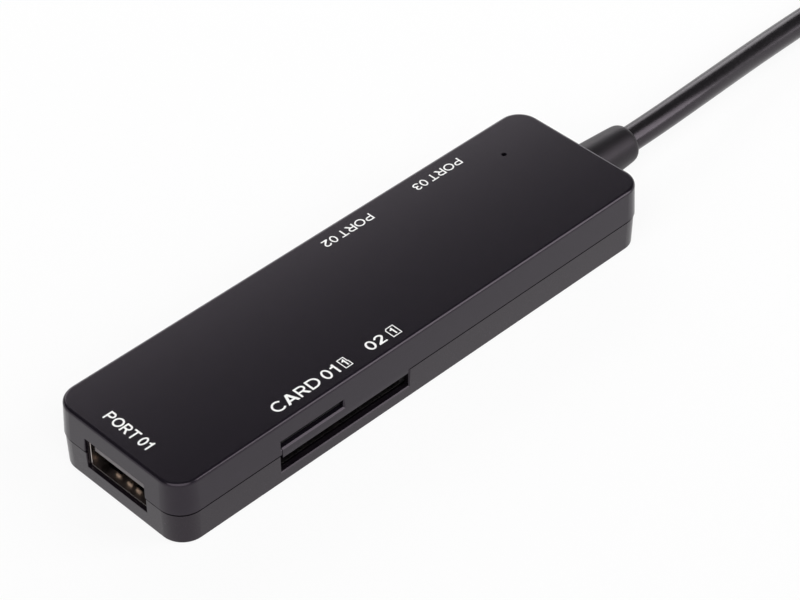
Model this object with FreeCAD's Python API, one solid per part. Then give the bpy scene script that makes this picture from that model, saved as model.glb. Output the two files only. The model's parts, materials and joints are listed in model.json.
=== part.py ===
# A slim five-way hub: three A-type ports, two card slots and a captive lead that ends in a C-type plug.
# Units are millimetres. The origin is under the middle of the case, on the surface that it stands on.
# +X runs along the case towards the lead, +Y towards the side with two ports, +Z up.

import FreeCAD
import Part
import math
import os

Vector = FreeCAD.Vector

# Case, measured where the two shells meet, which is its widest level
case_length = 98.4
case_width = 28.0
case_height = 11.8
case_corner = 4.1
parting_height = 6.0
side_wall = 1.0
roof_wall = 1.2
floor_wall = 1.2
upper_draft = 2.6
lower_draft = 1.5
lower_step = 0.15
top_edge_round = 0.55
bottom_edge_bevel = 0.25
seam_gap = 0.4
seam_depth = 0.3

# Lip of the lower shell that stands inside the upper one
lip_height = 0.8
lip_thickness = 0.4
lip_clearance = 0.05
lip_end_gap = 0.6

# General fit, and the bevels round the card slots and the ports
fit_gap = 0.05
slot_chamfer = 0.2
port_chamfer = 0.1

# A-type port: the opening of its metal shell, the tongue inside and its contacts
port_width = 12.5
port_height = 5.12
port_depth = 13.9
port_sheet = 0.25
port_corner = 0.5
port_lead_in = 0.06
port_axis_height = 5.7
port_setback = 0.8
tongue_width = 11.1
tongue_thickness = 1.84
tongue_roof_gap = 0.75
tongue_setback = 0.25
tongue_length = 8.9
tongue_nose = 0.55
port_contact_offsets = (-3.5, -1.0, 1.0, 3.5)
port_contact_width = 1.0
port_contact_sheet = 0.15
port_contact_proud = 0.1
port_contact_setback = 2.1
contact_tip_gap = 0.05
contact_nose = 0.2
contact_bow = 0.5
contact_bow_length = 0.5
contact_bow_tail = 2.0
port_contact_foot = 1.6
fast_contact_count = 5
fast_contact_pitch = 2.0
fast_contact_width = 0.7
fast_contact_length = 1.5
fast_contact_setback = 0.4

# Spring fingers and solder ears of a port's shell
finger_width = 2.2
finger_length = 5.4
finger_slit = 0.4
finger_offset = 3.2
finger_setback = 1.6
finger_bend = 4.5
finger_root = 0.4
ear_width = 1.5
ear_length = 3.0
ear_setback = 6.0

# Places along the case
far_port_from_rear = 22.4
near_port_from_rear = 42.2
slots_from_front = 19.8

# Card slots in the side wall, one above the other, with their left ends in line.
# The upper shell's skirt closes the large slot from above, with a seam at each end.
card_slot_width = 25.9
card_slot_low = 2.25
card_slot_high = 5.12
small_slot_width = 12.4
small_slot_low = 7.0
small_slot_high = 8.4
skirt_front_seam = 0.12
skirt_rear_seam = 0.18
skirt_corner = 0.4

# Circuit board
board_thickness = 1.0
board_top = 6.3
board_clearance = 0.35
board_rear_gap = 6.7
board_notch_gap = 0.2
board_notch_back = 0.6

# Posts that hold the board between the shells, and the pins that place it
post_side = 2.6
clamp_post_side = 2.2
post_front_inset = 4.8
post_rear_inset = 9.4
post_side_inset = 4.0
pin_radius = 0.7
pin_height = 0.8
pin_clearance = 0.1

# Socket for the large card, under the board
card_channel_width = 24.4
card_channel_height = 2.25
card_socket_depth = 21.0
card_socket_rail = 0.9
card_socket_plate = 0.5
card_socket_sheet = 0.2
card_socket_back = 1.2
card_contact_count = 9
card_contact_pitch = 2.5
card_contact_width = 0.8
card_contact_length = 7.0
card_contact_rise = 0.45

# Socket for the small card, on the board
small_channel_width = 11.3
small_channel_height = 1.05
small_socket_depth = 14.6
small_socket_rail = 1.0
small_socket_plate = 0.65
small_socket_sheet = 0.15
small_socket_back = 1.0
small_contact_count = 8
small_contact_pitch = 1.1
small_contact_width = 0.6
small_contact_length = 4.5
small_contact_rise = 0.3
card_spring_sheet = 0.15
card_spring_flat = 0.45

# Chips and other parts on the board
hub_chip_side = 5.0
hub_chip_height = 0.9
hub_chip_gap = 1.2
card_chip_side = 4.0
card_chip_height = 0.85
card_chip_gap = 5.0
card_chip_edge_gap = 5.0
chip_bevel = 0.15
crystal_length = 3.2
crystal_width = 2.5
crystal_height = 0.75
crystal_bevel = 0.2
crystal_gap = 4.2
regulator_length = 2.9
regulator_width = 1.6
regulator_height = 1.1
regulator_lead_width = 0.45
regulator_lead_reach = 0.6
regulator_lead_sheet = 0.2
regulator_lead_pitch = 1.9
regulator_gap = 2.0
led_length = 1.6
led_width = 0.8
led_height = 0.6
led_base_height = 0.25
led_lens_inset = 0.3
led_from_rear = 11.0
led_from_side = 7.2
led_hole_radius = 0.45
chip_part_length = 1.6
chip_part_width = 0.8
capacitor_height = 0.8
resistor_height = 0.45
terminal_length = 0.35
terminal_proud = 0.04
chip_part_count = 5
chip_part_pitch = 4.5
chip_part_start = 2.8
capacitor_row_from_side = 7.8
resistor_row_from_side = 4.8

# Strain relief of the lead, the rib that keeps it, and the conductors inside the case
relief_length = 11.0
relief_base_radius = 4.0
relief_end_radius = 3.35
relief_end_bevel = 0.9
relief_neck_radius = 3.2
relief_flange_radius = 4.3
relief_flange_length = 1.6
rib_thickness = 1.0
rib_width = 9.0
rib_parting_gap = 1.6
wire_radius = 0.22
wire_sides = 8
wire_count = 4
wire_pitch = 1.1
wire_foot = 1.8

# Cord, and its route from the strain relief to the plug
cord_radius = 2.25
cord_bend_share = 0.45
cord_exit_run = 6.8
cord_entry_run = 6.0
cord_route = (
    (80.0, 0.7, 5.7),
    (98.0, 3.0, 3.6),
    (120.0, 4.3, cord_radius),
    (151.0, 3.6, cord_radius),
    (170.0, 3.2, 2.7),
)

# Plug on the lead: moulded grip, metal shell, insert and contacts
plug_rear_x = 186.5
plug_axis_y = 3.0
grip_length = 19.0
grip_width = 11.0
grip_height = 6.4
grip_side_round = 2.6
grip_end_bevel = 0.8
grip_tail_length = 8.0
grip_tail_radius = 2.7
plug_width = 8.25
plug_height = 2.4
plug_sheet = 0.25
plug_reach = 6.65
plug_embedded = 2.5
insert_slot_width = 6.9
insert_slot_height = 0.9
insert_slot_depth = 5.4
insert_setback = 0.15
plug_contact_count = 12
plug_contact_pitch = 0.5
plug_contact_width = 0.26
plug_contact_length = 3.6
plug_contact_sheet = 0.1
plug_contact_setback = 0.7

# How near two places count as the same
same_place = 1e-4

# Values worked out from the sizes above
half_length = case_length / 2
half_width = case_width / 2
upper_lean = math.tan(math.radians(upper_draft))
lower_lean = math.tan(math.radians(lower_draft))
roof_underside = case_height - roof_wall
lower_inner_inset = lower_step + side_wall
rebate_inset = lower_inner_inset - lip_thickness - lip_clearance
board_underside = board_top - board_thickness
board_front = -half_length + lower_inner_inset + board_clearance
board_rear = half_length - board_rear_gap
board_side = half_width - lower_inner_inset - board_clearance
board_corner = case_corner - lower_inner_inset - board_clearance
far_port_x = half_length - far_port_from_rear
near_port_x = half_length - near_port_from_rear
slots_x = -half_length + slots_from_front
port_mouth_low = port_axis_height - port_height / 2 - port_sheet - fit_gap
port_mouth_high = port_axis_height + port_height / 2 + port_sheet + fit_gap
port_mouth_half = port_width / 2 + port_sheet + fit_gap
port_back = port_setback + port_depth
contact_foot_end = port_back + board_notch_back + port_contact_foot
tongue_front = port_setback + tongue_setback
tongue_root = tongue_front + tongue_length
tongue_top = port_axis_height + port_height / 2 - tongue_roof_gap
tongue_under = tongue_top - tongue_thickness
relief_end = half_length + relief_length
flange_outer = half_length - lower_inner_inset - relief_flange_radius * lower_lean - fit_gap
flange_inner = flange_outer - relief_flange_length
plug_axis_z = grip_height / 2
grip_rear = plug_rear_x + grip_tail_length
grip_front = grip_rear + grip_length
plug_front = grip_front + plug_reach

# The ports: where the case's face is, and the turn about Z from a port whose mouth looks to -X
port_places = {
    "front_port": (Vector(-half_length, 0, 0), 0),
    "near_port": (Vector(near_port_x, half_width, 0), -90),
    "far_port": (Vector(far_port_x, half_width, 0), -90),
}

# The posts, in plan: a pair at each end and a pair between the side ports
post_places = [
    (x, side * (half_width - post_side_inset))
    for x in (post_front_inset - half_length, (near_port_x + far_port_x) / 2, half_length - post_rear_inset)
    for side in (1, -1)
]
pin_places = (post_places[1], post_places[4])


def box(low, high):
    """A block between two opposite corners."""
    size = Vector(*high) - Vector(*low)
    return Part.makeBox(size.x, size.y, size.z, Vector(*low))


def rounded_outline(length, width, radius, z):
    """A rounded rectangle about the Z axis, at height z."""
    inner_x = length / 2 - radius
    inner_y = width / 2 - radius
    diagonal = radius * math.sqrt(0.5)
    arcs = []
    for sign_x, sign_y in ((1, 1), (-1, 1), (-1, -1), (1, -1)):
        on_x = Vector(sign_x * length / 2, sign_y * inner_y, z)
        on_y = Vector(sign_x * inner_x, sign_y * width / 2, z)
        middle = Vector(sign_x * (inner_x + diagonal), sign_y * (inner_y + diagonal), z)
        first, last = (on_x, on_y) if sign_x == sign_y else (on_y, on_x)
        arcs.append((first, middle, last))
    edges = []
    for (first, middle, last), following in zip(arcs, arcs[1:] + arcs[:1]):
        edges.append(Part.Arc(first, middle, last).toShape())
        if last.distanceToPoint(following[0]) > same_place:
            edges.append(Part.LineSegment(last, following[0]).toShape())
    return Part.Wire(edges)


def rounded_block(length, width, radius, low, high):
    """An upright block with rounded corners, about the Z axis."""
    return Part.Face(rounded_outline(length, width, radius, low)).extrude(Vector(0, 0, high - low))


def lying_block(width, height, radius, start, end, y=0, z=0):
    """A block with rounded long edges that lies along X, from start to end."""
    block = rounded_block(height, width, radius, start, end)
    block.rotate(Vector(0, 0, 0), Vector(0, 1, 0), 90)
    block.translate(Vector(0, y, z))
    return block


def leaning_block(inset, corner, low, high, lean):
    """A block inside the case's outline by inset at height low, whose sides lean in up to height high."""
    drift = abs(high - low) * lean
    outlines = [
        rounded_outline(case_length - 2 * side, case_width - 2 * side, corner - side, z)
        for side, z in ((inset, low), (inset + drift, high))
    ]
    return Part.makeLoft(outlines, True, True)


def level_edges(shape, level, axis="Z"):
    """The edges of a shape that lie wholly at one level on an axis."""
    return [edge for edge in shape.Edges
            if abs(getattr(edge.BoundBox, axis + "Min") - level) < same_place
            and abs(getattr(edge.BoundBox, axis + "Max") - level) < same_place]


def upright(radius, low, high, place):
    """An upright cylinder at a place in plan."""
    return Part.makeCylinder(radius, high - low, Vector(place[0], place[1], low))


def square_post(side, low, high, place):
    """An upright square post at a place in plan."""
    x, y = place
    return box((x - side / 2, y - side / 2, low), (x + side / 2, y + side / 2, high))


def extruded(points, across, width, offset=0):
    """A profile of (x, z) points, extruded to a width along the unit vector across, centred on offset."""
    start = across * (offset - width / 2)
    corners = [Vector(x, 0, z) + start for x, z in points]
    return Part.Face(Part.makePolygon(corners + corners[:1])).extrude(across * width)


def joined(shapes):
    """Shapes that overlap or touch, as one solid with its split faces merged."""
    return shapes[0].multiFuse(shapes[1:]).removeSplitter()


def rimmed_hole(width, low, high, depth, face, bevel):
    """Cuts a hole with a bevelled rim into a wall whose outer face looks to -X and lies at x = face."""
    outside = side_wall + bevel
    frames = []
    for x, grow in ((face - outside, outside + bevel), (face + bevel, 0)):
        half = width / 2 + grow
        corners = [Vector(x, -half, low - grow), Vector(x, half, low - grow),
                   Vector(x, half, high + grow), Vector(x, -half, high + grow)]
        frames.append(Part.makePolygon(corners + corners[:1]))
    rim = Part.makeLoft(frames, True, True)
    return rim.fuse(box((face - outside, -width / 2, low), (face + depth, width / 2, high)))


def at_port(shape, name):
    """A copy of a shape made for the -X wall at the origin, moved to a port's place."""
    place, turn = port_places[name]
    moved = shape.copy()
    moved.rotate(Vector(0, 0, 0), Vector(0, 0, 1), turn)
    moved.translate(place)
    return moved


def slot_hole(width, low, high, face):
    """A card slot through the -Y wall, whose outer face lies in from the case's side by face."""
    hole = rimmed_hole(width, low, high, 2 * side_wall + lower_step, face, slot_chamfer)
    hole.rotate(Vector(0, 0, 0), Vector(0, 0, 1), 90)
    hole.translate(Vector(slots_x + width / 2, -half_width, 0))
    return hole


def upper_face(z):
    """How far the upper shell's outer face lies in from the case's outline at height z."""
    return (z - parting_height) * upper_lean


def lower_face(z):
    """How far the lower shell's outer face lies in from the case's outline at height z."""
    return lower_step + (parting_height - z) * lower_lean


def port_mouths(face):
    """The mouths of all three ports, for a shell whose outer face is at face."""
    depth = port_setback + side_wall
    hole = rimmed_hole(2 * port_mouth_half, port_mouth_low, port_mouth_high, depth, face, port_chamfer)
    return [at_port(hole, name) for name in port_places]


def neck_hole():
    """The hole through the rear wall for the strain relief's neck."""
    reach = half_length - flange_outer + side_wall
    return Part.makeCylinder(relief_neck_radius + fit_gap, 2 * reach,
                             Vector(flange_outer - side_wall, 0, parting_height), Vector(1, 0, 0))


def relief_rib(low, high):
    """A cross rib inside a shell, behind the strain relief's flange."""
    rear = flange_inner - fit_gap
    return box((rear - rib_thickness, -rib_width / 2, low), (rear, rib_width / 2, high))


def make_skirt():
    """The upper shell's skirt, which reaches down to the large slot, with its rear corner rounded."""
    front = slots_x + skirt_front_seam
    rear = slots_x + card_slot_width - skirt_rear_seam
    skirt = box((front, -half_width, card_slot_high), (rear, rebate_inset - half_width, parting_height))
    below = parting_height - same_place
    corner = [edge for edge in level_edges(skirt, rear, "X") if edge.BoundBox.ZMax < below]
    skirt = skirt.makeFillet(skirt_corner, corner)
    rim = [edge for edge in level_edges(skirt, -half_width, "Y") if edge.BoundBox.ZMax < below]
    return skirt.makeChamfer(slot_chamfer, rim)


def make_upper_case():
    """The upper shell: roof, leaning sides, skirt, posts, and cuts for the ports, small slot and light."""
    outer = leaning_block(0, case_corner, parting_height, case_height, upper_lean)
    outer = outer.makeFillet(top_edge_round, level_edges(outer, case_height))
    inner = leaning_block(side_wall, case_corner, parting_height, roof_underside, upper_lean)
    shell = outer.cut(inner)
    rebate_top = parting_height + lip_height + lip_clearance
    shell = shell.cut(leaning_block(rebate_inset, case_corner, parting_height, rebate_top, 0))
    roof_middle = case_height - roof_wall / 2
    posts = [square_post(clamp_post_side, board_top, roof_middle, place) for place in post_places]
    rib = relief_rib(parting_height + rib_parting_gap, roof_middle)
    shell = joined([shell, make_skirt(), rib] + posts)
    slot_middle = (small_slot_low + small_slot_high) / 2
    cuts = port_mouths(upper_face((parting_height + port_mouth_high) / 2))
    cuts.append(slot_hole(small_slot_width, small_slot_low, small_slot_high, upper_face(slot_middle)))
    cuts.append(box((slots_x, -case_width, card_slot_high),
                    (slots_x + skirt_front_seam, 2 * side_wall - half_width, small_slot_low)))
    cuts.append(neck_hole())
    light_x = half_length - led_from_rear
    light_y = half_width - led_from_side
    cuts.append(upright(led_hole_radius, roof_underside - roof_wall, case_height + roof_wall,
                        (light_x, light_y)))
    return shell.cut(cuts).removeSplitter()


def make_lower_case():
    """The lower shell: tray, lip, board posts with pins, and cuts for the ports, large slot and lead."""
    outer = leaning_block(lower_step, case_corner, parting_height, 0, lower_lean)
    outer = outer.makeChamfer(bottom_edge_bevel, level_edges(outer, 0))
    inner = leaning_block(lower_inner_inset, case_corner, parting_height, floor_wall, lower_lean)
    seam_low = parting_height - seam_gap
    seam = leaning_block(0, case_corner, seam_low, parting_height, 0)
    seam = seam.cut(leaning_block(lower_step + seam_depth, case_corner, seam_low, parting_height, 0))
    shell = outer.cut([inner, seam])
    lip_low = parting_height - lip_height
    lip_top = parting_height + lip_height
    lip = leaning_block(lower_inner_inset - lip_thickness, case_corner, lip_low, lip_top, 0)
    lip = lip.cut(leaning_block(lower_inner_inset, case_corner, lip_low, lip_top, 0))
    lip = lip.cut(lip_gaps())
    posts = [square_post(post_side, floor_wall / 2, board_underside, place) for place in post_places]
    pins = [upright(pin_radius, board_underside - pin_radius, board_underside + pin_height, place)
            for place in pin_places]
    rib = relief_rib(floor_wall / 2, parting_height - rib_parting_gap)
    shell = joined([shell, lip, rib] + posts + pins)
    cuts = port_mouths(lower_face((parting_height + port_mouth_low) / 2))
    slot_middle = (card_slot_low + card_slot_high) / 2
    cuts.append(slot_hole(card_slot_width, card_slot_low, case_height, lower_face(slot_middle)))
    cuts.append(neck_hole())
    return shell.cut(cuts).removeSplitter()


def lip_gaps():
    """Where the lip stops short of the openings."""
    low = parting_height - 2 * lip_height
    high = parting_height + 2 * lip_height
    port_half = port_mouth_half + lip_end_gap
    gaps = [at_port(box((0, -port_half, low), (2 * port_setback, port_half, high)), name)
            for name in port_places]
    gaps.append(box((slots_x - lip_end_gap, -half_width, low),
                    (slots_x + card_slot_width + lip_end_gap, 2 * lower_inner_inset - half_width, high)))
    neck_half = relief_neck_radius + lip_end_gap
    gaps.append(box((half_length - 2 * lower_inner_inset, -neck_half, low), (half_length, neck_half, high)))
    return gaps


def make_board():
    """The circuit board, with a notch for each port and holes for the pins."""
    length = board_rear - board_front
    board = rounded_block(length, 2 * board_side, board_corner, board_underside, board_top)
    board.translate(Vector((board_front + board_rear) / 2, 0, 0))
    half = port_width / 2 + port_sheet + board_notch_gap
    notch = box((0, -half, 0), (port_back + board_notch_back, half, case_height))
    holes = [upright(pin_radius + pin_clearance, 0, case_height, place) for place in pin_places]
    return board.cut([at_port(notch, name) for name in port_places] + holes)


def port_core(gap, start):
    """The space inside a port's shell, less a gap all round, from start to the port's back."""
    half_y = port_width / 2 - gap
    half_z = port_height / 2 - gap
    return box((start, -half_y, port_axis_height - half_z), (port_back, half_y, port_axis_height + half_z))


def make_port_shell():
    """A port's folded metal shell: a tube with spring fingers above and below and an ear on each side."""
    outer = lying_block(port_width + 2 * port_sheet, port_height + 2 * port_sheet, port_corner,
                        port_setback, port_back, z=port_axis_height)
    opening = rimmed_hole(port_width, port_axis_height - port_height / 2, port_axis_height + port_height / 2,
                          port_depth + side_wall, port_setback, port_lead_in)
    tube = outer.cut(opening)
    start = port_setback + finger_setback
    end = start + finger_length
    windows = []
    fingers = []
    for level in (-1, 1):
        face = port_axis_height + level * port_height / 2
        low, high = sorted((face, face + level * port_sheet))
        for side in (-1, 1):
            middle = side * finger_offset
            half = finger_width / 2
            slit_half = half + finger_slit
            windows.append(box((start, middle - slit_half, low), (end, middle + slit_half, high)))
            finger = box((start + finger_slit, middle - half, low), (end + finger_root, middle + half, high))
            root = Vector(end, middle, face + level * port_sheet)
            finger.rotate(root, Vector(0, 1, 0), -level * finger_bend)
            fingers.append(finger)
    ears = [
        box((port_setback + ear_setback, min(near, far), board_top),
            (port_setback + ear_setback + ear_length, max(near, far), board_top + port_sheet))
        for near, far in ((side * (port_width / 2 + port_sheet / 2),
                           side * (port_width / 2 + port_sheet + ear_width)) for side in (-1, 1))
    ]
    return joined([tube.cut(windows)] + fingers + ears)


def port_contact(offset, grow=0):
    """One spring contact: a bowed tip under the tongue, a run in its groove and a foot on the board."""
    low = tongue_under - port_contact_proud
    high = low + port_contact_sheet
    tip = tongue_front + port_contact_setback
    tip_high = tongue_under - contact_tip_gap
    bow_low = tongue_under - contact_bow
    bow_start = tip + contact_nose
    bow_end = bow_start + contact_bow_length
    groove_start = bow_end + contact_bow_tail
    riser = port_back + fit_gap
    foot_top = board_top + port_contact_sheet
    profile = [
        (tip, tip_high - port_contact_sheet),
        (bow_start, bow_low),
        (bow_end, bow_low),
        (groove_start, low),
        (riser + port_contact_sheet, low),
        (riser + port_contact_sheet, board_top),
        (contact_foot_end, board_top),
        (contact_foot_end, foot_top),
        (riser, foot_top),
        (riser, high),
        (groove_start, high),
        (bow_end, bow_low + port_contact_sheet),
        (bow_start, bow_low + port_contact_sheet),
        (tip, tip_high),
    ]
    return extruded(profile, Vector(0, 1, 0), port_contact_width + 2 * grow, offset)


def fast_contact(offset, grow=0):
    """One of the short extra contacts at the tip of a fast port's tongue."""
    start = tongue_front + fast_contact_setback
    low = tongue_under - port_contact_proud
    half = fast_contact_width / 2 + grow
    return box((start - grow, offset - half, low),
               (start + fast_contact_length + grow, offset + half, low + port_contact_sheet))


def fast_offsets():
    """Where the extra contacts lie across the tongue."""
    middle = (fast_contact_count - 1) / 2
    return [(index - middle) * fast_contact_pitch for index in range(fast_contact_count)]


def make_port_contacts(fast):
    """All the contacts of one port, as separate pieces."""
    contacts = [port_contact(offset) for offset in port_contact_offsets]
    if fast:
        contacts += [fast_contact(offset) for offset in fast_offsets()]
    return Part.makeCompound(contacts)


def make_port_tongue(fast):
    """A port's moulded insulator: a block across the back and the tongue in front, grooved for contacts."""
    block = port_core(fit_gap, tongue_root)
    nose = tongue_front + tongue_nose
    profile = [
        (nose, tongue_under),
        (tongue_root + port_sheet, tongue_under),
        (tongue_root + port_sheet, tongue_top),
        (nose, tongue_top),
        (tongue_front, tongue_top - tongue_nose),
        (tongue_front, tongue_under + tongue_nose),
    ]
    tongue = extruded(profile, Vector(0, 1, 0), tongue_width)
    grooves = [port_contact(offset, fit_gap) for offset in port_contact_offsets]
    if fast:
        grooves += [fast_contact(offset, fit_gap) for offset in fast_offsets()]
    return joined([block, tongue]).cut(grooves)


def card_socket(channel, tall, depth, rail, plate, sheet, back, springs):
    """A card socket on a face at z = 0, with its mouth at y = 0 looking to -Y: base, cover and springs."""
    count, pitch, width, length, rise = springs
    half = channel / 2 + rail
    top = plate + tall
    base = box((-half, 0, 0), (half, depth, top))
    base = base.cut(box((-channel / 2, -depth, plate), (channel / 2, depth - back, top + plate)))
    cover = box((-half - sheet, 0, 0), (half + sheet, depth, top + sheet))
    cover = cover.cut(box((-half, -depth, -sheet), (half, 2 * depth, top)))
    root = depth - back
    bend = root - length * card_spring_flat
    profile = [
        (root, plate),
        (bend, plate),
        (root - length, plate + rise),
        (root - length, plate + rise + card_spring_sheet),
        (bend, plate + card_spring_sheet),
        (root, plate + card_spring_sheet),
    ]
    spring = extruded(profile, Vector(0, 1, 0), width)
    spring.rotate(Vector(0, 0, 0), Vector(0, 0, 1), 90)
    contacts = []
    for index in range(count):
        contact = spring.copy()
        contact.translate(Vector((index - (count - 1) / 2) * pitch, 0, 0))
        contacts.append(contact)
    return {"base": base, "cover": cover, "contacts": Part.makeCompound(contacts)}


def make_large_socket():
    """The large card's socket, hung under the board with its mouth at the board's edge."""
    springs = (card_contact_count, card_contact_pitch, card_contact_width, card_contact_length,
               card_contact_rise)
    pieces = card_socket(card_channel_width, card_channel_height, card_socket_depth, card_socket_rail,
                         card_socket_plate, card_socket_sheet, card_socket_back, springs)
    for piece in pieces.values():
        piece.rotate(Vector(0, 0, 0), Vector(0, 1, 0), 180)
        piece.translate(Vector(slots_x + card_slot_width / 2, -board_side, board_underside))
    return pieces


def make_small_socket():
    """The small card's socket, on the board with its mouth at the board's edge."""
    springs = (small_contact_count, small_contact_pitch, small_contact_width, small_contact_length,
               small_contact_rise)
    pieces = card_socket(small_channel_width, small_channel_height, small_socket_depth, small_socket_rail,
                         small_socket_plate, small_socket_sheet, small_socket_back, springs)
    for piece in pieces.values():
        piece.translate(Vector(slots_x + small_slot_width / 2, -board_side, board_top))
    return pieces


def make_chip(side, height, x, y):
    """A flat square chip on the board, with bevelled top edges."""
    chip = box((-side / 2, -side / 2, 0), (side / 2, side / 2, height))
    chip = chip.makeChamfer(chip_bevel, level_edges(chip, height))
    chip.translate(Vector(x, y, board_top))
    return chip


def make_crystal(x, y):
    """A low metal crystal can, bevelled on every edge but those on the board."""
    half_x = crystal_width / 2
    half_y = crystal_length / 2
    can = box((-half_x, -half_y, 0), (half_x, half_y, crystal_height))
    can = can.makeChamfer(crystal_bevel, [edge for edge in can.Edges if edge.BoundBox.ZMax > crystal_bevel])
    can.translate(Vector(x, y, board_top))
    return can


def make_regulator(x, y):
    """A three-legged regulator: a body and leads that step down to the board."""
    lift = regulator_lead_sheet / 2
    body = box((-regulator_length / 2, -regulator_width / 2, lift),
               (regulator_length / 2, regulator_width / 2, regulator_height))
    middle = regulator_height / 2
    leads = []
    for offset, side in ((-regulator_lead_pitch / 2, -1), (regulator_lead_pitch / 2, -1), (0, 1)):
        root = regulator_width / 2 - regulator_lead_sheet
        knee = regulator_width / 2 + regulator_lead_sheet
        tip = regulator_width / 2 + regulator_lead_reach
        profile = [
            (root, middle),
            (knee, middle),
            (knee, regulator_lead_sheet),
            (tip, regulator_lead_sheet),
            (tip, 0),
            (knee - regulator_lead_sheet, 0),
            (knee - regulator_lead_sheet, middle - regulator_lead_sheet),
            (root, middle - regulator_lead_sheet),
        ]
        lead = extruded(profile, Vector(0, 1, 0), regulator_lead_width)
        lead.rotate(Vector(0, 0, 0), Vector(0, 0, 1), side * 90)
        lead.translate(Vector(offset, 0, 0))
        leads.append(lead)
    regulator = joined([body] + leads)
    regulator.translate(Vector(x, y, board_top))
    return regulator


def make_led():
    """The status light: a flat base and a clear lens, under the hole in the roof."""
    base = box((-led_length / 2, -led_width / 2, 0), (led_length / 2, led_width / 2, led_base_height))
    lens = box((led_lens_inset - led_length / 2, -led_width / 2, led_base_height),
               (led_length / 2 - led_lens_inset, led_width / 2, led_height))
    lens = lens.makeChamfer(led_base_height / 2, level_edges(lens, led_height))
    led = joined([base, lens])
    led.translate(Vector(half_length - led_from_rear, half_width - led_from_side, board_top))
    return led


def make_chip_parts(height, y):
    """A row of small two-ended parts, each with a raised terminal at both ends."""
    body = box((-chip_part_length / 2, -chip_part_width / 2, terminal_proud),
               (chip_part_length / 2, chip_part_width / 2, height - terminal_proud))
    ends = []
    for side in (-1, 1):
        inner = side * (chip_part_length / 2 - terminal_length)
        outer = side * (chip_part_length / 2 + terminal_proud)
        ends.append(box((min(inner, outer), -chip_part_width / 2 - terminal_proud, 0),
                        (max(inner, outer), chip_part_width / 2 + terminal_proud, height)))
    one = joined([body] + ends)
    row = []
    for index in range(chip_part_count):
        copy = one.copy()
        copy.translate(Vector(slots_x + chip_part_start + index * chip_part_pitch, y, board_top))
        row.append(copy)
    return Part.makeCompound(row)


def make_relief():
    """The moulded strain relief: flange inside the case, neck in its wall and a tapered boot outside."""
    boot_slope = (relief_base_radius - relief_end_radius) / relief_length
    profile = [
        (half_length, relief_base_radius),
        (half_length, relief_neck_radius),
        (flange_outer, relief_neck_radius),
        (flange_outer, relief_flange_radius),
        (flange_inner, relief_flange_radius),
        (flange_inner, 0),
        (relief_end, 0),
        (relief_end, relief_end_radius - relief_end_bevel),
        (relief_end - relief_end_bevel, relief_end_radius + boot_slope * relief_end_bevel),
    ]
    corners = [Vector(x, 0, radius) for x, radius in profile]
    section = Part.Face(Part.makePolygon(corners + corners[:1]))
    relief = section.revolve(Vector(0, 0, 0), Vector(1, 0, 0), 360)
    relief.translate(Vector(0, 0, parting_height))
    return relief


def make_wires():
    """The cord's conductors, with flat sides, side by side from the strain relief to the board."""
    start = board_rear - wire_foot
    corner = wire_radius / math.cos(math.pi / wire_sides)
    angles = [(side + 0.5) * 2 * math.pi / wire_sides for side in range(wire_sides)]
    wires = []
    for index in range(wire_count):
        y = (index - (wire_count - 1) / 2) * wire_pitch
        z = board_top + wire_radius
        ring = [Vector(start, y + corner * math.sin(a), z + corner * math.cos(a)) for a in angles]
        outline = Part.makePolygon(ring + ring[:1])
        wires.append(Part.Face(outline).extrude(Vector(flange_inner - start, 0, 0)))
    return Part.makeCompound(wires)


def cord_points():
    """The cord's route: straight out of the strain relief, along its points and straight into the plug."""
    exit_point = Vector(relief_end, 0, parting_height)
    entry_point = Vector(plug_rear_x, plug_axis_y, plug_axis_z)
    points = [exit_point, exit_point + Vector(cord_exit_run, 0, 0)]
    points += [Vector(*place) for place in cord_route]
    return points + [entry_point - Vector(cord_entry_run, 0, 0), entry_point]


def make_cord():
    """The cord: a round tube on straight runs joined by tangent arcs, each as large as its runs allow."""
    points = cord_points()
    edges = []
    start = points[0]
    radii = []
    for before, corner, after in zip(points, points[1:], points[2:]):
        back = before - corner
        ahead = after - corner
        reach = cord_bend_share * min(back.Length, ahead.Length)
        turn = math.pi - back.getAngle(ahead)
        radius = reach / math.tan(turn / 2)
        back.normalize()
        ahead.normalize()
        inward = back + ahead
        inward.normalize()
        middle = corner + inward * (radius / math.cos(turn / 2) - radius)
        first = corner + back * reach
        last = corner + ahead * reach
        edges.append(Part.LineSegment(start, first).toShape())
        edges.append(Part.Arc(first, middle, last).toShape())
        radii.append(radius)
        start = last
    edges.append(Part.LineSegment(start, points[-1]).toShape())
    length = sum(edge.Length for edge in edges)
    section = Part.Wire(Part.makeCircle(cord_radius, points[0], points[1] - points[0]))
    tube = Part.Wire(edges).makePipeShell([section], True, False)
    print("cord radii:", " ".join("%.0f" % radius for radius in radii))
    print("cord length %.2f, tube volume / (section x length) %.5f"
          % (length, tube.Volume / (math.pi * cord_radius ** 2 * length)))
    return tube


def stadium(width, height, start, end):
    """A bar with fully rounded sides along X, on the plug's axis."""
    return lying_block(width, height, height / 2, start, end, plug_axis_y, plug_axis_z)


def make_grip():
    """The plug's moulded grip, with a slim tail at the cord and a pocket for the metal shell."""
    grip = lying_block(grip_width, grip_height, grip_side_round, grip_rear, grip_front,
                       plug_axis_y, plug_axis_z)
    ends = level_edges(grip, grip_rear, "X") + level_edges(grip, grip_front, "X")
    grip = grip.makeChamfer(grip_end_bevel, ends)
    tail = Part.makeCylinder(grip_tail_radius, grip_tail_length + grip_end_bevel,
                             Vector(plug_rear_x, plug_axis_y, plug_axis_z), Vector(1, 0, 0))
    pocket = stadium(plug_width, plug_height, grip_front - plug_embedded, plug_front)
    return joined([grip, tail]).cut(pocket)


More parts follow.
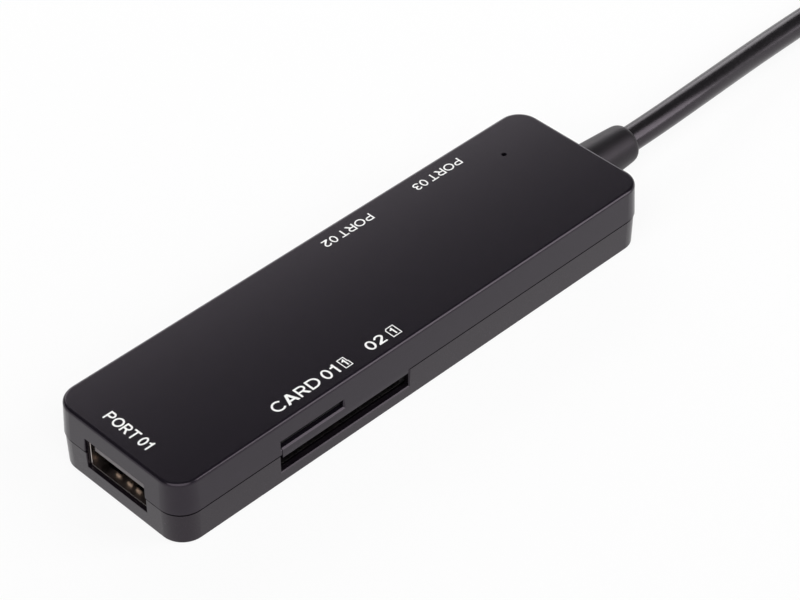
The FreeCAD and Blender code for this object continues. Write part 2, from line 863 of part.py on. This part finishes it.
def make_plug_shell():
    """The plug's metal shell, a flat tube with rounded sides."""
    outer = stadium(plug_width, plug_height, grip_front - plug_embedded, plug_front)
    inner = stadium(plug_width - 2 * plug_sheet, plug_height - 2 * plug_sheet,
                    grip_front - plug_embedded, plug_front)
    return outer.cut(inner)


def make_plug_insert():
    """The insert that lines the plug's shell, with the slot that takes a socket's tongue."""
    gap = 2 * (plug_sheet + fit_gap)
    front = plug_front - insert_setback
    insert = stadium(plug_width - gap, plug_height - gap, grip_front - plug_embedded, front)
    half_y = insert_slot_width / 2
    half_z = insert_slot_height / 2
    return insert.cut(box((front - insert_slot_depth, plug_axis_y - half_y, plug_axis_z - half_z),
                          (plug_front, plug_axis_y + half_y, plug_axis_z + half_z)))


def make_plug_contacts():
    """Two rows of contacts, on the upper and lower faces of the insert's slot."""
    end = plug_front - insert_setback - plug_contact_setback
    contacts = []
    for index in range(plug_contact_count):
        y = plug_axis_y + (index - (plug_contact_count - 1) / 2) * plug_contact_pitch
        for level in (-1, 1):
            face = plug_axis_z + level * insert_slot_height / 2
            low, high = sorted((face, face - level * plug_contact_sheet))
            contacts.append(box((end - plug_contact_length, y - plug_contact_width / 2, low),
                                (end, y + plug_contact_width / 2, high)))
    return Part.makeCompound(contacts)


def all_parts():
    """Every sub-part by name, in its place."""
    hub_chip_y = half_width - contact_foot_end - hub_chip_gap - hub_chip_side / 2
    hub_chip_end = far_port_x + hub_chip_side / 2
    card_chip_x = slots_x + small_slot_width + card_chip_gap + card_chip_side / 2
    card_chip_y = -board_side + card_chip_edge_gap + card_chip_side / 2
    crystal_x = hub_chip_end + crystal_gap + crystal_width / 2
    regulator_x = far_port_x + port_width / 2 + port_sheet + ear_width + regulator_gap
    large_socket = make_large_socket()
    small_socket = make_small_socket()
    parts = {
        "upper_case": make_upper_case(),
        "lower_case": make_lower_case(),
        "circuit_board": make_board(),
        "hub_chip": make_chip(hub_chip_side, hub_chip_height, far_port_x, hub_chip_y),
        "card_reader_chip": make_chip(card_chip_side, card_chip_height, card_chip_x, card_chip_y),
        "crystal": make_crystal(crystal_x, hub_chip_y),
        "regulator": make_regulator(regulator_x, -regulator_width),
        "status_light": make_led(),
        "capacitors": make_chip_parts(capacitor_height, half_width - capacitor_row_from_side),
        "resistors": make_chip_parts(resistor_height, half_width - resistor_row_from_side),
        "strain_relief": make_relief(),
        "lead_wires": make_wires(),
        "cord": make_cord(),
        "plug_grip": make_grip(),
        "plug_shell": make_plug_shell(),
        "plug_insert": make_plug_insert(),
        "plug_contacts": make_plug_contacts(),
    }
    for port in port_places:
        fast = port == "far_port"
        parts[port + "_shell"] = at_port(make_port_shell(), port)
        parts[port + "_tongue"] = at_port(make_port_tongue(fast), port)
        parts[port + "_contacts"] = at_port(make_port_contacts(fast), port)
    for piece, shape in large_socket.items():
        parts["card_socket_" + piece] = shape
    for piece, shape in small_socket.items():
        parts["small_card_socket_" + piece] = shape
    return parts


os.makedirs("parts", exist_ok=True)
for part_name, part_shape in all_parts().items():
    assert part_shape.isValid(), part_name
    part_shape.exportStep(os.path.join("parts", part_name + ".step"))
    print("%-28s solids %2d  volume %9.3f" % (part_name, len(part_shape.Solids), part_shape.Volume))
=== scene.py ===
# Looks of a slim five-way hub: materials, printed labels, lead, boot, plug grip, light and camera.
# The frame is the part's own, in metres: +X towards the lead, +Y the side with two ports, +Z up.
# Tables of places and sizes on the part are in millimetres.

import json
import math

import bpy
from mathutils import Matrix, Vector

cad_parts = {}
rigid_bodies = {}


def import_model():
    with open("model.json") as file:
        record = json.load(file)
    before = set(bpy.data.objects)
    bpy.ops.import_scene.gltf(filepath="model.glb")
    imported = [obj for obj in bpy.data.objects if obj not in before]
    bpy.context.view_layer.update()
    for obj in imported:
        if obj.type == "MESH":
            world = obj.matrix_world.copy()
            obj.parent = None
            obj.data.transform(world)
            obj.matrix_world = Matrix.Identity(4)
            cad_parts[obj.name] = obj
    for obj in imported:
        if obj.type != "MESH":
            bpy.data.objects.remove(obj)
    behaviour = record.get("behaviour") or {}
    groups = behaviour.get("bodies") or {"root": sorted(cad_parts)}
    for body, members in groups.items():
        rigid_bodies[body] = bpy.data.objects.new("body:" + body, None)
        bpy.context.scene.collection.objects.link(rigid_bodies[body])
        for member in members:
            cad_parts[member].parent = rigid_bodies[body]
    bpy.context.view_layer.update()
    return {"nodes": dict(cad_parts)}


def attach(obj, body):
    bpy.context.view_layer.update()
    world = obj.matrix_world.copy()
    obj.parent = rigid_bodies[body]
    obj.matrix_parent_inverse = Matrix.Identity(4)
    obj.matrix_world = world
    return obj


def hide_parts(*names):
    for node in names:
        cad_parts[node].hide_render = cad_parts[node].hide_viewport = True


mm = 0.001

# Case and lead, as in the part
case_top = 11.8 * mm
cord_diameter = 4.5 * mm
cord_points = (
    (60.2, 0.0, 6.0),
    (67.0, 0.0, 6.0),
    (80.0, 0.7, 5.7),
    (98.0, 3.0, 3.6),
    (120.0, 4.3, 2.25),
    (151.0, 3.6, 2.25),
    (170.0, 3.2, 2.7),
    (180.5, 3.0, 3.2),
    (186.5, 3.0, 3.2),
)
cord_steps = 24
cord_round_steps = 10

# Mouldings: points in a ring round them, and how often their skin is divided
ring_count = 72
smooth_levels = 1

# Boot: places along the case and radii, from its flange inside the case to its rounded end
boot_axis = (0.0, 6.0)
boot_profile = (
    (46.30, 2.00),
    (46.30, 4.10),
    (46.50, 4.30),
    (47.70, 4.30),
    (47.88, 4.12),
    (47.88, 3.20),
    (49.16, 3.20),
    (49.20, 3.90),
    (49.30, 4.00),
    (53.00, 3.79),
    (57.00, 3.56),
    (58.90, 3.44),
    (59.35, 3.36),
    (59.72, 3.20),
    (59.98, 2.95),
    (60.14, 2.72),
    (60.20, 2.52),
    (60.12, 2.40),
    (59.80, 2.31),
    (59.40, 2.25),
)

# Tail of the plug's grip. A rib is given by places in shares of the pitch and depths in shares of the groove
grip_axis = (3.0, 3.2)
grip_tail_start = 186.5
grip_tail_ribs = 4
grip_tail_pitch = 1.7
grip_tail_radius = 2.7
grip_tail_groove = 0.35
grip_rib = ((0.0, 1), (0.12, 0), (0.62, 0), (0.74, 1))

# Body of the plug's grip: places along it, half widths, half heights and squareness of the section
grip_body = (
    (194.10, 2.75, 2.70, 2.0),
    (194.50, 3.10, 2.76, 2.1),
    (194.90, 3.90, 2.88, 2.3),
    (195.40, 4.70, 3.00, 2.6),
    (196.10, 5.20, 3.10, 3.0),
    (197.20, 5.45, 3.18, 3.4),
    (198.60, 5.50, 3.20, 3.6),
    (204.00, 5.50, 3.20, 3.6),
    (211.60, 5.50, 3.20, 3.6),
    (212.50, 5.45, 3.15, 3.6),
    (213.10, 5.28, 2.98, 3.5),
    (213.40, 5.02, 2.72, 3.4),
    (213.50, 4.70, 2.40, 3.3),
    (213.50, 0.50, 0.30, 3.0),
)

# Print: how far it reaches into and out of the top face, and gaps in shares of the letters' height
ink_under = 0.004 * mm
ink_over = 0.012 * mm
letter_gap = 0.11
word_gap = 0.34

# Labels: name, words, start of the baseline, reading direction, length, height and stroke
labels = (
    ("label_front", "PORT 01", (-46.4, 5.4), (0, -1), 9.7, 1.9, 0.31),
    ("label_near", "PORT 02", (12.6, 11.55), (-1, 0), 10.2, 1.6, 0.22),
    ("label_far", "PORT 03", (32.2, 11.55), (-1, 0), 10.2, 1.6, 0.22),
    ("label_small_card", "CARD 01", (-28.1, -11.85), (1, 0), 12.9, 2.1, 0.30),
    ("label_card", "02", (-9.3, -11.8), (1, 0), 3.5, 1.95, 0.29),
)

# Icons: name, start of the baseline and outline of a card, from its lower left corner round to the right
icon_line = 0.16
icon_reading = (1, 0)
icon_mark = "1"
icon_mark_low = 0.39
icon_mark_height = 1.45
icon_mark_stroke = 0.26
icons = (
    ("icon_small_card", (-14.5, -11.9),
     ((0, 0), (1.5, 0), (1.5, 1.1), (1.38, 1.25), (1.38, 2.2), (0, 2.2))),
    ("icon_card", (-4.8, -11.95),
     ((0, 0), (1.8, 0), (1.8, 2.2), (0.35, 2.2), (0, 1.85))),
)

# Patterns: spots per metre, depths of relief, and the range that most of a noise lies in
noise_low = 0.3
noise_high = 0.7
even = (1, 1, 1)
mottle_scale = 420
stain_scale = 260
plastic_grain = 7000
plastic_depth = 0.0012 * mm
soft_depth = 0.003 * mm
cord_depth = 0.004 * mm
metal_grain = 5000
metal_depth = 0.0006 * mm
track_scale = 420
track_depth = 0.02 * mm

# Plastics: slot, material, darker and lighter colour, range of roughness, and what differs from the usual
plastic_ior = 1.42
plastic_sheen = (1.0, 0.86, 1.0, 1)
plastics = (
    ("upper_shell", "upper_plastic", (0.0062, 0.0050, 0.0078), (0.0074, 0.0060, 0.0093), (0.17, 0.21), {}),
    ("lower_shell", "lower_plastic", (0.0050, 0.0036, 0.0054), (0.0064, 0.0047, 0.0068), (0.22, 0.28), {}),
    ("relief_rubber", "boot_rubber", (0.0070, 0.0066, 0.0073), (0.0090, 0.0085, 0.0094), (0.38, 0.46),
     {"grain": 5000, "depth": soft_depth, "ior": 1.37}),
    ("cord_jacket", "cord_vinyl", (0.0070, 0.0065, 0.0072), (0.0090, 0.0084, 0.0092), (0.22, 0.27),
     {"grain": 2600, "depth": cord_depth, "stretch": (0.25, 1, 1), "ior": 1.45}),
    ("grip_plastic", "grip_plastic", (0.0120, 0.0116, 0.0120), (0.0150, 0.0146, 0.0150), (0.40, 0.50),
     {"grain": 6000, "depth": soft_depth}),
    ("black_insulator", "black_insulator", (0.088, 0.081, 0.080), (0.108, 0.100, 0.098), (0.26, 0.34),
     {"ior": 1.52}),
    ("blue_insulator", "blue_insulator", (0.012, 0.060, 0.270), (0.018, 0.080, 0.330), (0.36, 0.46), {}),
    ("socket_plastic", "socket_plastic", (0.010, 0.010, 0.010), (0.015, 0.014, 0.014), (0.40, 0.50), {}),
    ("chip_resin", "chip_resin", (0.013, 0.013, 0.014), (0.022, 0.022, 0.023), (0.48, 0.60),
     {"grain": 9000, "depth": soft_depth}),
    ("wire_jacket", "wire_jacket", (0.30, 0.02, 0.02), (0.36, 0.03, 0.03), (0.34, 0.44), {}),
    ("capacitor_body", "capacitor_body", (0.22, 0.13, 0.07), (0.28, 0.17, 0.09), (0.40, 0.52), {}),
    ("resistor_body", "resistor_body", (0.018, 0.018, 0.020), (0.030, 0.030, 0.033), (0.38, 0.50), {}),
)

# Metals: slot, darker and lighter colour, range of roughness and stretch of the rolling marks
metals = (
    ("port_steel", (0.45, 0.41, 0.39), (0.56, 0.51, 0.49), (0.15, 0.23), (0.2, 1, 1)),
    # The card sockets' steel is coloured far darker than plain steel: painted shade inside the card slots,
    # on top of the metal's own dull tone.
    ("socket_steel", (0.20, 0.19, 0.19), (0.27, 0.26, 0.26), (0.24, 0.36), (1, 0.2, 1)),
    ("plug_steel", (0.56, 0.55, 0.53), (0.68, 0.67, 0.65), (0.16, 0.26), (0.2, 1, 1)),
    ("crystal_can", (0.58, 0.57, 0.54), (0.70, 0.69, 0.66), (0.20, 0.30), even),
    ("gold_contact", (0.80, 0.62, 0.48), (0.90, 0.72, 0.58), (0.20, 0.30), even),
)

# Stage, in metres: rings of a flat floor, a bend all round it and a low wall
stage_rings = (0.0, 0.5, 1.2, 2.4)
stage_bend = 0.7
stage_bend_steps = 12
stage_wall_top = 1.1
stage_count = 96
stage_paper = (0.86, 0.86, 0.86, 1)
stage_glow_share = 0.88

# Light. Softboxes: name, place, the place they point at, width, height and power
white_light = (1, 1, 1, 1)
room_strength = 0.08
key_energy = 2.55
key_spread = 72
key_place = (-0.5, -0.47, 0.75)
softboxes = (
    ("side", (0.73, -0.79, 0.66), (0, 0, 0), 0.6, 0.9, 6.9),
    ("back", (0.375, 0.379, 0.241), (0.358, -0.012, 0.019), 0.70, 0.24, 1.26),
)

# Camera: angles in degrees, place from the middle of the top face, and lens
camera_azimuth = -44.179
camera_elevation = 41.216
camera_roll = -0.54
camera_right = 5.865 * mm
camera_up = -2.293 * mm
camera_back = 417.8 * mm
camera_sensor = 36
camera_lens = 124.38
camera_nearest = 0.01


def clear_session():
    """Takes away what an empty session starts with."""
    for leftover in list(bpy.data.objects):
        bpy.data.objects.remove(leftover)


def node(tree, kind, **values):
    """A shader node with values set on its inputs, by their names."""
    made = tree.nodes.new(kind)
    for key, value in values.items():
        made.inputs[key.replace("_", " ").title()].default_value = value
    return made


def pattern(tree, scale, detail=2.0, stretch=even):
    """Noise fixed to the surface, about 1 / scale metres from one spot to the next."""
    place = node(tree, "ShaderNodeTexCoord")
    mapping = node(tree, "ShaderNodeMapping", scale=stretch)
    noise = node(tree, "ShaderNodeTexNoise", scale=scale, detail=detail)
    tree.links.new(place.outputs["Object"], mapping.inputs["Vector"])
    tree.links.new(mapping.outputs["Vector"], noise.inputs["Vector"])
    return noise.outputs["Fac"]


def spread(tree, value, low, high):
    """A pattern's middle range stretched between two numbers."""
    made = node(tree, "ShaderNodeMapRange", from_min=noise_low, from_max=noise_high, to_min=low, to_max=high)
    tree.links.new(value, made.inputs["Value"])
    return made.outputs["Result"]


def ramp(tree, value, dark, light, low=noise_low, high=noise_high):
    """A pattern turned into a run between two colours."""
    made = tree.nodes.new("ShaderNodeValToRGB")
    for stop, place, colour in zip(made.color_ramp.elements, (low, high), (dark, light)):
        stop.position = place
        stop.color = (*colour, 1)
    tree.links.new(value, made.inputs["Fac"])
    return made.outputs["Color"]


def relief(tree, shader, value, depth):
    """A pattern as fine relief of that depth."""
    bump = node(tree, "ShaderNodeBump", distance=depth, strength=1.0)
    tree.links.new(value, bump.inputs["Height"])
    tree.links.new(bump.outputs["Normal"], shader.inputs["Normal"])


def surface(name):
    """A new material, its tree and its shader."""
    material = bpy.data.materials.new(name)
    material.use_nodes = True
    tree = material.node_tree
    return material, tree, tree.nodes["Principled BSDF"]


def plastic(name, dark, light, rough,
            grain=plastic_grain, depth=plastic_depth, stretch=even, ior=plastic_ior):
    """Moulded plastic: faint mottling, a violet sheen, and a fine grain that the gloss varies with."""
    material, tree, shader = surface(name)
    shader.inputs["Specular Tint"].default_value = plastic_sheen
    shader.inputs["IOR"].default_value = ior
    cloud = pattern(tree, mottle_scale, detail=3.0, stretch=stretch)
    fine = pattern(tree, grain, stretch=stretch)
    tree.links.new(ramp(tree, cloud, dark, light), shader.inputs["Base Color"])
    tree.links.new(spread(tree, fine, *rough), shader.inputs["Roughness"])
    relief(tree, shader, fine, depth)
    return material


def metal(name, dark, light, rough, stretch):
    """Plated sheet: rolling marks along one direction, with slight staining."""
    material, tree, shader = surface(name)
    shader.inputs["Metallic"].default_value = 1.0
    marks = pattern(tree, metal_grain, detail=3.0, stretch=stretch)
    stain = pattern(tree, stain_scale)
    tree.links.new(ramp(tree, stain, dark, light), shader.inputs["Base Color"])
    tree.links.new(spread(tree, marks, *rough), shader.inputs["Roughness"])
    relief(tree, shader, marks, metal_depth)
    return material


def solder_mask(name):
    """Circuit board: green lacquer with paler tracks under it."""
    material, tree, shader = surface(name)
    place = node(tree, "ShaderNodeTexCoord")
    tracks = node(tree, "ShaderNodeTexVoronoi", scale=track_scale)
    tracks.distance = "MANHATTAN"
    tracks.feature = "F1"
    tree.links.new(place.outputs["Object"], tracks.inputs["Vector"])
    nearness = tracks.outputs["Distance"]
    colour = ramp(tree, nearness, (0.004, 0.035, 0.014), (0.012, 0.075, 0.030), low=0.42, high=0.46)
    tree.links.new(colour, shader.inputs["Base Color"])
    tree.links.new(spread(tree, pattern(tree, 900), low=0.28, high=0.40), shader.inputs["Roughness"])
    relief(tree, shader, nearness, track_depth)
    return material


def ink(name):
    """White print: dense, slightly uneven where it took on the grain."""
    material, tree, shader = surface(name)
    colour = ramp(tree, pattern(tree, 2600), (0.86, 0.86, 0.85), (0.93, 0.93, 0.92))
    tree.links.new(colour, shader.inputs["Base Color"])
    tree.links.new(spread(tree, pattern(tree, 7000), low=0.5, high=0.62), shader.inputs["Roughness"])
    return material


def clear(name):
    """Milky resin over a light."""
    material, tree, shader = surface(name)
    shader.inputs["Transmission Weight"].default_value = 0.6
    shader.inputs["IOR"].default_value = 1.5
    colour = ramp(tree, pattern(tree, 1500), (0.55, 0.56, 0.55), (0.72, 0.73, 0.70))
    tree.links.new(colour, shader.inputs["Base Color"])
    tree.links.new(spread(tree, pattern(tree, 4000), low=0.2, high=0.3), shader.inputs["Roughness"])
    return material


def add_object(name, data):
    """A new object in the scene."""
    made = bpy.data.objects.new(name, data)
    bpy.context.scene.collection.objects.link(made)
    return made


def add_smooth(name, points, faces, material):
    """A new smooth mesh in the scene."""
    mesh = bpy.data.meshes.new(name)
    mesh.from_pydata(points, [], faces)
    mesh.shade_smooth()
    mesh.materials.append(material)
    return add_object(name, mesh)


def bands(levels, count):
    """Faces that join each ring of points to the next one."""
    faces = []
    for k in range(levels - 1):
        for i in range(count):
            j = (i + 1) % count
            faces.append((k * count + i, k * count + j, (k + 1) * count + j, (k + 1) * count + i))
    return faces


def loft(name, rings, material):
    """A smooth skin through rings of points, closed at both ends."""
    count = len(rings[0])
    last = (len(rings) - 1) * count
    points = [p for ring in rings for p in ring]
    first_end = tuple(reversed(range(count)))
    last_end = tuple(range(last, last + count))
    made = add_smooth(name, points, [first_end] + bands(len(rings), count) + [last_end], material)
    made.modifiers.new("fine", "SUBSURF").render_levels = smooth_levels
    return made


def section(x, axis, half_width, half_height, squareness=2.0):
    """A ring of points across X, from an ellipse to nearly a rectangle."""
    ring = []
    for i in range(ring_count):
        angle = 2 * math.pi * i / ring_count
        c = math.cos(angle)
        s = math.sin(angle)
        y = math.copysign(abs(c) ** (2 / squareness), c) * half_width
        z = math.copysign(abs(s) ** (2 / squareness), s) * half_height
        ring.append((x * mm, (axis[0] + y) * mm, (axis[1] + z) * mm))
    return ring


def make_boot(material):
    """The strain relief: flange and neck inside the case, a tapering sleeve and a rounded end."""
    boot = loft("boot", [section(x, boot_axis, r, r) for x, r in boot_profile], material)
    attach(boot, "root")
    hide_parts("strain_relief")
    return boot


def make_grip(material):
    """The plug's grip: a ribbed tail, which flexes on the real plug, and a rounded body."""
    rings = []
    for k in range(grip_tail_ribs):
        start = grip_tail_start + k * grip_tail_pitch
        for share, depth in grip_rib:
            radius = grip_tail_radius - depth * grip_tail_groove
            rings.append(section(start + share * grip_tail_pitch, grip_axis, radius, radius))
    rings += [section(x, grip_axis, w, h, n) for x, w, h, n in grip_body]
    grip = loft("grip", rings, material)
    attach(grip, "root")
    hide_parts("plug_grip")
    return grip


def make_cord(material):
    """The lead, as one smooth spline."""
    curve = bpy.data.curves.new("lead", "CURVE")
    curve.dimensions = "3D"
    curve.bevel_depth = cord_diameter / 2
    curve.bevel_resolution = cord_round_steps
    curve.resolution_u = cord_steps
    curve.use_fill_caps = True
    spline = curve.splines.new("NURBS")
    spline.points.add(len(cord_points) - 1)
    for point, place in zip(spline.points, cord_points):
        point.co = (*(v * mm for v in place), 1)
    spline.order_u = 3
    spline.use_endpoint_u = True
    curve.materials.append(material)
    lead = add_object("lead", curve)
    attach(lead, "root")
    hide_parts("cord")


def arc(x, y, across, tall, start, end, steps=18):
    """Points along part of an ellipse, between two angles in degrees."""
    angles = [math.radians(start + (end - start) * k / steps) for k in range(steps + 1)]
    return [(x + across * math.cos(a), y + tall * math.sin(a)) for a in angles]


def oval(x, y, across, tall):
    """Points all the way round an ellipse."""
    return arc(x, y, across, tall, 0, 350, 35)


def letter(sign, s):
    """A plain capital or digit one unit tall, of stroke s: its width, its outline and those of its holes."""
    waist = 0.46 - s / 2
    middle = (1 + waist) / 2
    tall = (1 - waist) / 2
    bowl = arc(0.42, middle, 0.34, tall, -90, 90)
    bowl_hole = [(s, waist + s)] + arc(0.42, middle, 0.34 - s, tall - s, -90, 90) + [(s, 1 - s)]
    stem_left = 0.39 - s / 2
    stem_right = 0.39 + s / 2
    letters = {
        "P": (0.76,
              [(0, 0), (s, 0), (s, waist)] + bowl + [(0, 1)],
              bowl_hole),
        "R": (0.82,
              [(0, 0), (s, 0), (s, waist), (0.36, waist), (0.6, 0), (0.82, 0)]
              + arc(0.42, middle, 0.34, tall, -68, 90) + [(0, 1)],
              bowl_hole),
        "O": (0.98,
              oval(0.49, 0.5, 0.49, 0.51),
              oval(0.49, 0.5, 0.49 - s, 0.51 - s)),
        "T": (0.78,
              [(0, 1 - s), (stem_left, 1 - s), (stem_left, 0), (stem_right, 0),
               (stem_right, 1 - s), (0.78, 1 - s), (0.78, 1), (0, 1)]),
        "C": (0.88,
              arc(0.49, 0.5, 0.49, 0.51, 42, 318, 30)
              + arc(0.49, 0.5, 0.49 - s, 0.51 - s, 318, 42, 30)),
        "A": (0.94,
              [(0, 0), (0.2, 0), (0.277, 0.21), (0.663, 0.21),
               (0.74, 0), (0.94, 0), (0.575, 1), (0.365, 1)],
              [(0.335, 0.37), (0.605, 0.37), (0.47, 0.74)]),
        "D": (0.88,
              [(0, 0)] + arc(0.37, 0.5, 0.51, 0.5, -90, 90, 26) + [(0, 1)],
              [(s, s)] + arc(0.37, 0.5, 0.51 - s, 0.5 - s, -90, 90, 26) + [(s, 1 - s)]),
        "0": (0.66,
              oval(0.33, 0.5, 0.33, 0.51),
              oval(0.33, 0.5, 0.33 - s, 0.51 - s)),
        "1": (0.50,
              [(0.04, 0.83 - s), (0.43 - s, 0.83 - s), (0.43 - s, 0), (0.43, 0),
               (0.43, 1), (0.29, 1), (0.23, 0.86), (0.04, 0.81)]),
        "2": (0.66,
              arc(0.33, 0.69, 0.33, 0.31, 172, -35)
              + [(0.3, s), (0.65, s), (0.65, 0), (0, 0), (0.02, 0.14)]
              + arc(0.33, 0.69, 0.33 - s, 0.31 - s, -35, 172)),
        "3": (0.66,
              arc(0.31, 0.73, 0.29, 0.28, 165, -48)
              + arc(0.31, 0.28, 0.34, 0.29, 52, -165)
              + arc(0.31, 0.28, 0.34 - s, 0.29 - s, -165, 90)
              + [(0.22, 0.4), (0.22, 0.6)]
              + arc(0.31, 0.73, 0.29 - s, 0.28 - s, -90, 165)),
    }
    return letters[sign]


def make_print(name, outlines, start, reading, material):
    """Fills outlines, given in millimetres along and above the baseline, and lays them on the top face."""
    curve = bpy.data.curves.new(name, "CURVE")
    curve.dimensions = "2D"
    curve.fill_mode = "BOTH"
    curve.extrude = (ink_under + ink_over) / 2
    for outline in outlines:
        line = curve.splines.new("POLY")
        line.points.add(len(outline) - 1)
        for point, (x, y) in zip(line.points, outline):
            point.co = (x * mm, y * mm, 0, 1)
        line.use_cyclic_u = True
    along = Vector((*reading, 0))
    upright = Vector((0, 0, 1))
    place = Matrix((along, upright.cross(along), upright)).transposed().to_4x4()
    place.translation = (start[0] * mm, start[1] * mm, case_top + (ink_over - ink_under) / 2)
    drawn = bpy.data.objects.new(name, curve)
    mesh = bpy.data.meshes.new_from_object(drawn)
    mesh.name = name
    bpy.data.curves.remove(curve)
    mesh.transform(place)
    mesh.materials.clear()
    mesh.materials.append(material)
    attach(add_object(name, mesh), "root")


def make_label(name, words, start, reading, length, height, stroke, material):
    """Generic lettering, stretched to the length and height that the label has."""
    outlines = []
    pen = 0
    for sign in words:
        if sign == " ":
            pen += word_gap - letter_gap
            continue
        width, *lines = letter(sign, stroke / height)
        outlines += [[(x + pen, y) for x, y in line] for line in lines]
        pen += width + letter_gap
    stretch = length / (pen - letter_gap)
    placed = [[(x * stretch, y * height) for x, y in line] for line in outlines]
    make_print(name, placed, start, reading, material)


def inset(outline, depth):
    """A closed outline moved inwards by that depth."""
    made = []
    for k, here in enumerate(outline):
        here = Vector(here)
        before = (here - Vector(outline[k - 1])).normalized()
        after = (Vector(outline[(k + 1) % len(outline)]) - here).normalized()
        left = Vector((-before.y - after.y, before.x + after.x))
        made.append(tuple(here + left * depth / (1 + before.dot(after))))
    return made


def make_icon(name, start, outline, material):
    """The outline of a card, with a small digit in it."""
    width, mark = letter(icon_mark, icon_mark_stroke / icon_mark_height)
    left = (max(x for x, y in outline) - icon_mark_height * width) / 2
    digit = [(left + x * icon_mark_height, icon_mark_low + y * icon_mark_height) for x, y in mark]
    make_print(name, [outline, inset(outline, icon_line), digit], start, icon_reading, material)


def dress(nodes, finish):
    """Gives the frame's own parts their materials."""
    for name, part in nodes.items():
        for held in part.material_slots:
            held.material = finish[name]


def stage_white(name):
    """Paper that the viewer and reflections see as nearly even white, with soft shadows."""
    material = bpy.data.materials.new(name)
    material.use_nodes = True
    tree = material.node_tree
    tree.nodes.clear()
    paper = node(tree, "ShaderNodeBsdfDiffuse", color=stage_paper)
    glow = node(tree, "ShaderNodeEmission", color=white_light, strength=1.0)
    path = tree.nodes.new("ShaderNodeLightPath")
    seen = path.outputs["Is Camera Ray"]
    for kind in ("Is Glossy Ray", "Is Transmission Ray"):
        either = tree.nodes.new("ShaderNodeMath")
        either.operation = "MAXIMUM"
        tree.links.new(seen, either.inputs[0])
        tree.links.new(path.outputs[kind], either.inputs[1])
        seen = either.outputs["Value"]
    share = tree.nodes.new("ShaderNodeMath")
    share.operation = "MULTIPLY"
    share.inputs[1].default_value = stage_glow_share
    tree.links.new(seen, share.inputs[0])
    mix = tree.nodes.new("ShaderNodeMixShader")
    tree.links.new(share.outputs["Value"], mix.inputs["Fac"])
    tree.links.new(paper.outputs["BSDF"], mix.inputs[1])
    tree.links.new(glow.outputs["Emission"], mix.inputs[2])
    out = tree.nodes.new("ShaderNodeOutputMaterial")
    tree.links.new(mix.outputs["Shader"], out.inputs["Surface"])
    return material


def make_stage():
    """A white floor that curves up into a low backdrop all round."""
    profile = [(r, 0.0) for r in stage_rings]
    edge = stage_rings[-1]
    for k in range(1, stage_bend_steps + 1):
        angle = math.pi / 2 * k / stage_bend_steps
        profile.append((edge + stage_bend * math.sin(angle), stage_bend - stage_bend * math.cos(angle)))
    profile.append((edge + stage_bend, stage_wall_top))
    turns = [2 * math.pi * i / stage_count for i in range(stage_count)]
    points = [(r * math.cos(a), r * math.sin(a), z) for r, z in profile for a in turns]
    stage = add_smooth("stage", points, bands(len(profile), stage_count), stage_white("stage_white"))


def aim(lamp, source, target=(0, 0, 0)):
    """Points a lamp from one place towards another, with its width level."""
    lamp.location = source
    lamp.rotation_mode = "QUATERNION"
    lamp.rotation_quaternion = (Vector(source) - Vector(target)).to_track_quat("Z", "Y")


def make_light():
    """A dim room, one broad soft key from the viewer's side, and softboxes on the right and behind."""
    world = bpy.data.worlds.new("room")
    bpy.context.scene.world = world
    world.use_nodes = True
    room = world.node_tree.nodes["Background"]
    room.inputs["Color"].default_value = white_light
    room.inputs["Strength"].default_value = room_strength
    key = bpy.data.lights.new("key", "SUN")
    key.energy = key_energy
    key.angle = math.radians(key_spread)
    aim(add_object("key", key), key_place)
    for name, place, target, width, height, power in softboxes:
        box = bpy.data.lights.new(name, "AREA")
        box.shape = "RECTANGLE"
        box.size = width
        box.size_y = height
        box.energy = power
        lamp = add_object(name, box)
        lamp.visible_camera = False
        aim(lamp, place, target)


def make_camera():
    """A long lens above the front left corner."""
    azimuth, elevation, roll = (math.radians(v) for v in (camera_azimuth, camera_elevation, camera_roll))
    back = Vector((math.sin(azimuth) * math.cos(elevation),
                   -math.cos(azimuth) * math.cos(elevation),
                   math.sin(elevation)))
    level = Vector((0, 0, 1)).cross(back).normalized()
    upright = back.cross(level)
    right = math.cos(roll) * level + math.sin(roll) * upright
    up = math.cos(roll) * upright - math.sin(roll) * level
    place = camera_right * right + camera_up * up + camera_back * back + Vector((0, 0, case_top))
    data = bpy.data.cameras.new("camera")
    data.sensor_width = camera_sensor
    data.lens = camera_lens
    data.clip_start = camera_nearest
    camera = add_object("camera", data)
    camera.matrix_world = Matrix.Translation(place) @ Matrix((right, up, back)).transposed().to_4x4()
    bpy.context.scene.camera = camera


clear_session()
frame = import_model()
nodes = frame["nodes"]

by_slot = {slot: plastic(name, *looks, **more) for slot, name, *looks, more in plastics}
by_slot.update({slot: metal(slot, *looks) for slot, *looks in metals})
by_slot["board"] = solder_mask("solder_mask")
by_slot["light_lens"] = clear("light_lens")
white = ink("white_ink")
dress(nodes, {name: by_slot[part.material_slots[0].material.name] for name, part in nodes.items()})

make_camera()
boot = make_boot(by_slot["relief_rubber"])
grip = make_grip(by_slot["grip_plastic"])
make_cord(by_slot["cord_jacket"])
for label in labels:
    make_label(*label, white)
for icon in icons:
    make_icon(*icon, white)
make_stage()
make_light()
bpy.context.scene.view_settings.view_transform = "Standard"
